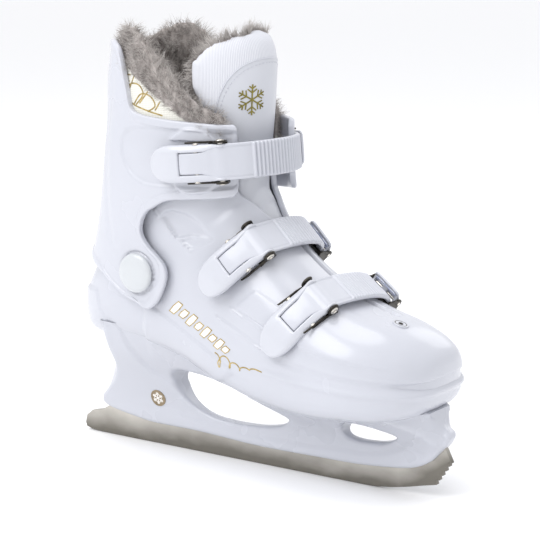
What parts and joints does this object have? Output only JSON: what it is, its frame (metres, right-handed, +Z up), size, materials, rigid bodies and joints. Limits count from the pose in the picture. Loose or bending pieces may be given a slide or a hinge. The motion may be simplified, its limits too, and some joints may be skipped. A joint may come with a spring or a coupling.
{
  "type": "ice skate",
  "caption": "Recreational ice skate with a hinged cuff over a hard boot, ratchet-buckle straps with lever and quick release, fur-lined tongue and collar, and a figure blade in a moulded holder.",
  "frame": {"origin": "middle of the blade's flat running face, in the blade's mid-plane", "axes": "+X to the toe, +Y to the inner side of a right foot, +Z up"},
  "size_m": [0.2992, 0.1157, 0.296],
  "materials": {
    "shell_plastic": "satin-gloss injection-moulded plastic, cool white",
    "cuff_plastic": "satin-gloss injection-moulded plastic, cool white",
    "holder_plastic": "satin-gloss moulded plastic, cool white",
    "buckle_plastic": "smooth gloss plastic, white",
    "strap_plastic": "flexible satin plastic, white",
    "cap_plastic": "smooth gloss plastic cap, white",
    "blade_steel": "ground carbon steel, satin, warm grey",
    "bracket_steel": "stamped steel with dark nickel plating",
    "rivet_nickel": "bright nickel-plated steel",
    "zinc_steel": "zinc-plated steel",
    "liner_fur": "long-pile imitation fur, taupe grey",
    "liner_fabric": "woven lining, off-white",
    "insole_fabric": "felt-topped foam insole, grey",
    "tongue_skin": "padded imitation leather, white, with a stitched seam",
    "gold_print": "thin matt gold print"
  },
  "bodies": {
    "boot": {"lower_shell": "shell_plastic", "blade_holder": "holder_plastic", "blade": "blade_steel", "heel_badge": "gold_print", "sole_screws": "zinc_steel", "insole": "insole_fabric", "liner_foot": "liner_fabric", "tongue_lower": "tongue_skin", "throat_rivet": "rivet_nickel", "pivot_rivet_lateral": "rivet_nickel", "pivot_rivet_medial": "rivet_nickel", "pivot_cap_lateral": "cap_plastic", "pivot_cap_medial": "cap_plastic", "bracket_mid": "bracket_steel", "bracket_rivets_mid": "rivet_nickel", "lever_rivets_mid": "rivet_nickel", "ratchet_frame_mid": "bracket_steel", "ratchet_rivets_mid": "rivet_nickel", "release_pin_mid": "rivet_nickel", "release_spring_mid": "zinc_steel", "bracket_toe": "bracket_steel", "bracket_rivets_toe": "rivet_nickel", "lever_rivets_toe": "rivet_nickel", "ratchet_frame_toe": "bracket_steel", "ratchet_rivets_toe": "rivet_nickel", "release_pin_toe": "rivet_nickel", "release_spring_toe": "zinc_steel"},
    "cuff": {"cuff": "cuff_plastic", "liner_collar": "liner_fur", "tongue_upper": "tongue_skin", "bracket_top": "bracket_steel", "bracket_rivets_top": "rivet_nickel", "lever_rivets_top": "rivet_nickel", "ratchet_frame_top": "bracket_steel", "ratchet_rivets_top": "rivet_nickel", "release_pin_top": "rivet_nickel", "release_spring_top": "zinc_steel"},
    "top_lever": {"lever_top": "buckle_plastic", "strap_pin_top": "rivet_nickel"},
    "top_strap": {"strap_top": "strap_plastic"},
    "top_release": {"release_lever_top": "buckle_plastic"},
    "mid_lever": {"lever_mid": "buckle_plastic", "strap_pin_mid": "rivet_nickel"},
    "mid_strap": {"strap_mid": "strap_plastic"},
    "mid_release": {"release_lever_mid": "buckle_plastic"},
    "toe_lever": {"lever_toe": "buckle_plastic", "strap_pin_toe": "rivet_nickel"},
    "toe_strap": {"strap_toe": "strap_plastic"},
    "toe_release": {"release_lever_toe": "buckle_plastic"}
  },
  "joints": [
    {"name": "cuff_hinge", "type": "hinge", "parent": "boot", "child": "cuff", "pos_m": [-0.0677, 0, 0.1306], "axis": [0, 1, 0], "range_deg": [0, 10], "stiffness_Nm_per_rad": 18, "deforming": ["liner_collar", "tongue_upper"]},
    {"name": "top_lever_hinge", "type": "hinge", "parent": "cuff", "child": "top_lever", "pos_m": [0.00243, -0.0435, 0.21011], "axis": [-0.0872, 0, 0.9962], "range_deg": [0, 150]},
    {"name": "top_strap_slide", "type": "slide", "parent": "cuff", "child": "top_strap", "axis": [0.9839, 0.1564, 0.0861], "range_m": [0, 0.0311], "deforming": ["strap_top"]},
    {"name": "top_release_hinge", "type": "hinge", "parent": "cuff", "child": "top_release", "pos_m": [-0.00349, 0.04902, 0.20959], "axis": [0.0872, 0, -0.9962], "range_deg": [0, 30], "stiffness_Nm_per_rad": 0.05},
    {"name": "mid_lever_hinge", "type": "hinge", "parent": "boot", "child": "mid_lever", "pos_m": [0.02248, -0.031, 0.1594], "axis": [-0.7321, 0.0872, 0.6756], "range_deg": [0, 150]},
    {"name": "mid_strap_slide", "type": "slide", "parent": "boot", "child": "mid_strap", "axis": [0.6673, 0.2913, 0.6855], "range_m": [0, 0.0311], "deforming": ["strap_mid"]},
    {"name": "mid_release_hinge", "type": "hinge", "parent": "boot", "child": "mid_release", "pos_m": [0.02181, 0.04027, 0.14947], "axis": [0.7321, -0.0872, -0.6756], "range_deg": [0, 30], "stiffness_Nm_per_rad": 0.05},
    {"name": "toe_lever_hinge", "type": "hinge", "parent": "boot", "child": "toe_lever", "pos_m": [0.06943, -0.0305, 0.12865], "axis": [-0.8157, 0.1045, 0.569], "range_deg": [0, 150]},
    {"name": "toe_strap_slide", "type": "slide", "parent": "boot", "child": "toe_strap", "axis": [0.5602, 0.3886, 0.7316], "range_m": [0, 0.0311], "deforming": ["strap_toe"]},
    {"name": "toe_release_hinge", "type": "hinge", "parent": "boot", "child": "toe_release", "pos_m": [0.07302, 0.0445, 0.12001], "axis": [0.8157, -0.1045, -0.569], "range_deg": [0, 30], "stiffness_Nm_per_rad": 0.05}
  ],
  "couplings": [
    {"joint": "top_lever_hinge", "follows": "top_strap_slide", "rad_per_m": 84.18},
    {"joint": "mid_lever_hinge", "follows": "mid_strap_slide", "rad_per_m": 84.18},
    {"joint": "toe_lever_hinge", "follows": "toe_strap_slide", "rad_per_m": 84.18}
  ]
}
